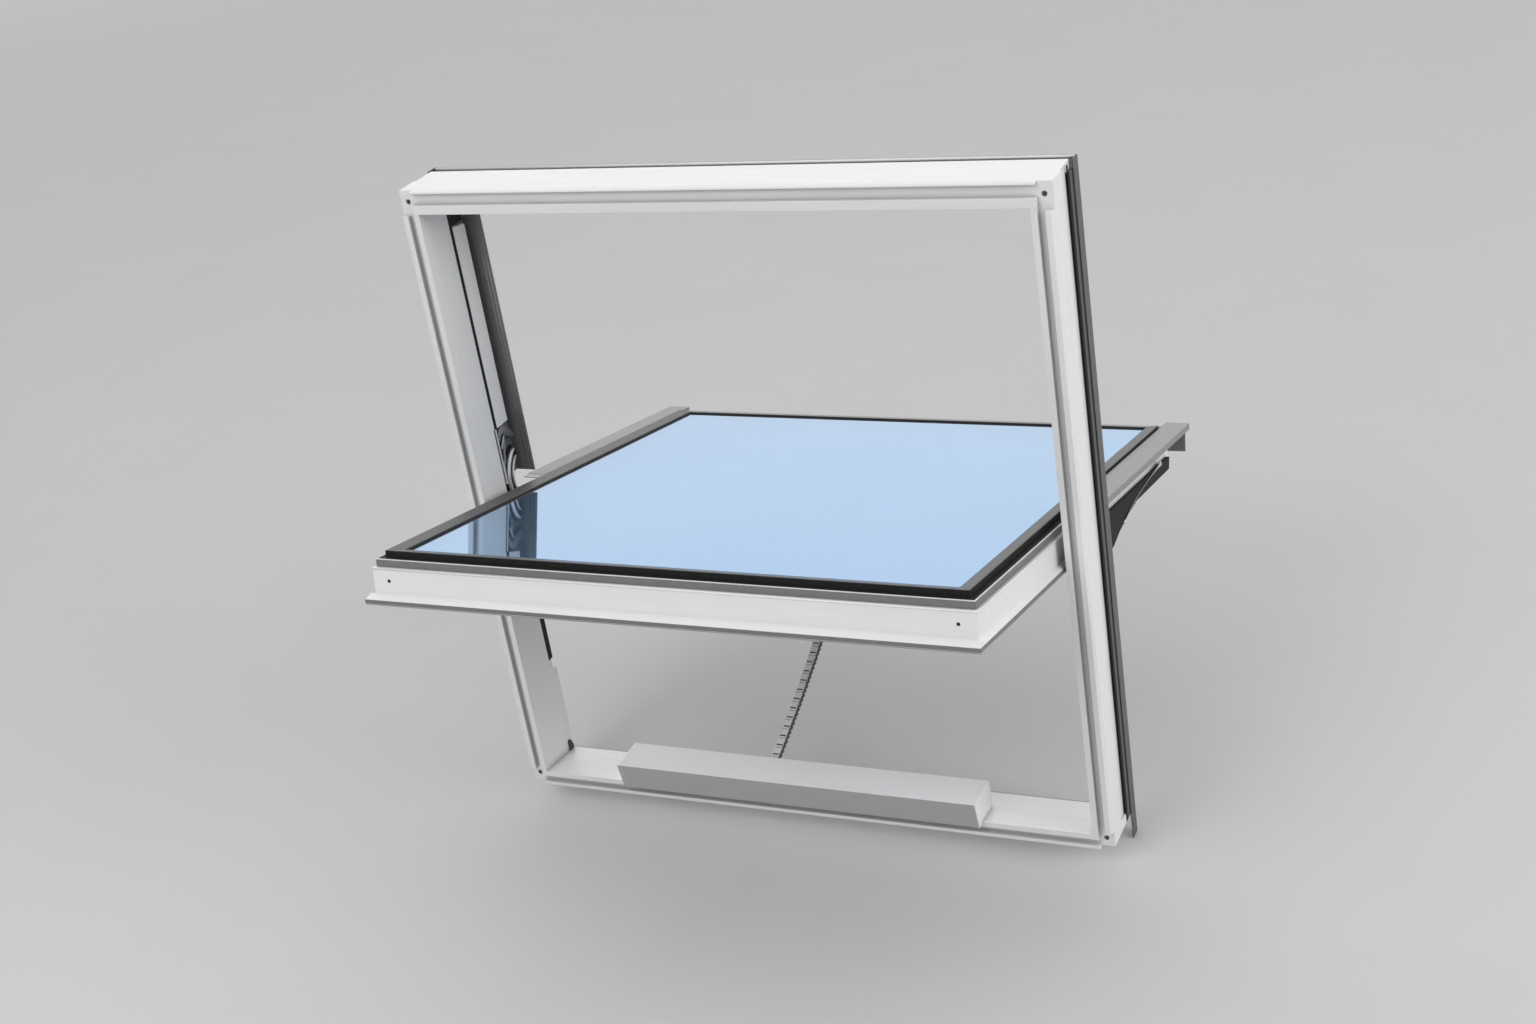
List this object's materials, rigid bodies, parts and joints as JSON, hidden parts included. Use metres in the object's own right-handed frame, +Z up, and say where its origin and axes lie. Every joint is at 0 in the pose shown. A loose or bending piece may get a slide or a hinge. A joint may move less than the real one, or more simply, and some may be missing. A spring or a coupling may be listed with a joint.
{
  "type": "centre pivot window",
  "caption": "White centre pivot roof window with grey cladding, a tilted double glazed sash on crescent hinges, and a chain actuator on the sill.",
  "frame": {"origin": "centre of the sill's flat underside", "axes": "+Z up along the jambs, -Y towards the room, +X to the right as seen from the room"},
  "size_m": [1.146, 1.142, 1.23],
  "materials": {
    "white_paint": "smooth satin white paint on wood",
    "grey_cladding": "matt grey lacquered sheet",
    "black_rubber": "matt black",
    "hinge_base": "matt dark coating on steel",
    "hinge_steel": "bright zinc plated",
    "dark_plastic": "matt dark grey",
    "pale_plastic": "fine matt pale grey",
    "chain_steel": "bright steel",
    "window_glass": "clear, reflects a pale blue sky"
  },
  "bodies": {
    "frame": {"head": "white_paint", "head_moulding": "white_paint", "sill": "white_paint", "left_jamb": "white_paint", "right_jamb": "white_paint", "left_upper_stop": "white_paint", "right_upper_stop": "white_paint", "left_frame_seal": "black_rubber", "right_frame_seal": "black_rubber", "left_side_cladding": "grey_cladding", "right_side_cladding": "grey_cladding", "left_upper_cover": "grey_cladding", "right_upper_cover": "grey_cladding", "head_cladding": "grey_cladding", "sill_cladding": "grey_cladding", "left_hinge_plate": "hinge_base", "right_hinge_plate": "hinge_base", "left_hinge_rails": "hinge_steel", "right_hinge_rails": "hinge_steel", "left_hinge_cap": "dark_plastic", "right_hinge_cap": "dark_plastic", "actuator_housing": "pale_plastic", "chain_outlet": "dark_plastic", "drive_chain": "chain_steel"},
    "sash": {"sash_top_rail": "white_paint", "sash_bottom_rail": "white_paint", "left_sash_stile": "white_paint", "right_sash_stile": "white_paint", "outer_pane": "window_glass", "inner_pane": "window_glass", "spacer_frame": "dark_plastic", "top_trim": "grey_cladding", "left_trim": "grey_cladding", "right_trim": "grey_cladding", "top_glazing_cap": "grey_cladding", "left_glazing_cap": "grey_cladding", "right_glazing_cap": "grey_cladding", "bottom_cladding": "grey_cladding", "left_lower_cover": "grey_cladding", "right_lower_cover": "grey_cladding", "left_lower_seal": "black_rubber", "right_lower_seal": "black_rubber", "left_hinge_arm": "hinge_steel", "right_hinge_arm": "hinge_steel", "chain_bracket": "chain_steel"}
  },
  "joints": [
    {"name": "sash_pivot", "type": "hinge", "parent": "frame", "child": "sash", "pos_m": [0, 0.099, 0.59], "axis": [1, 0, 0], "range_deg": [-78, 0], "deforming": ["drive_chain"]}
  ]
}
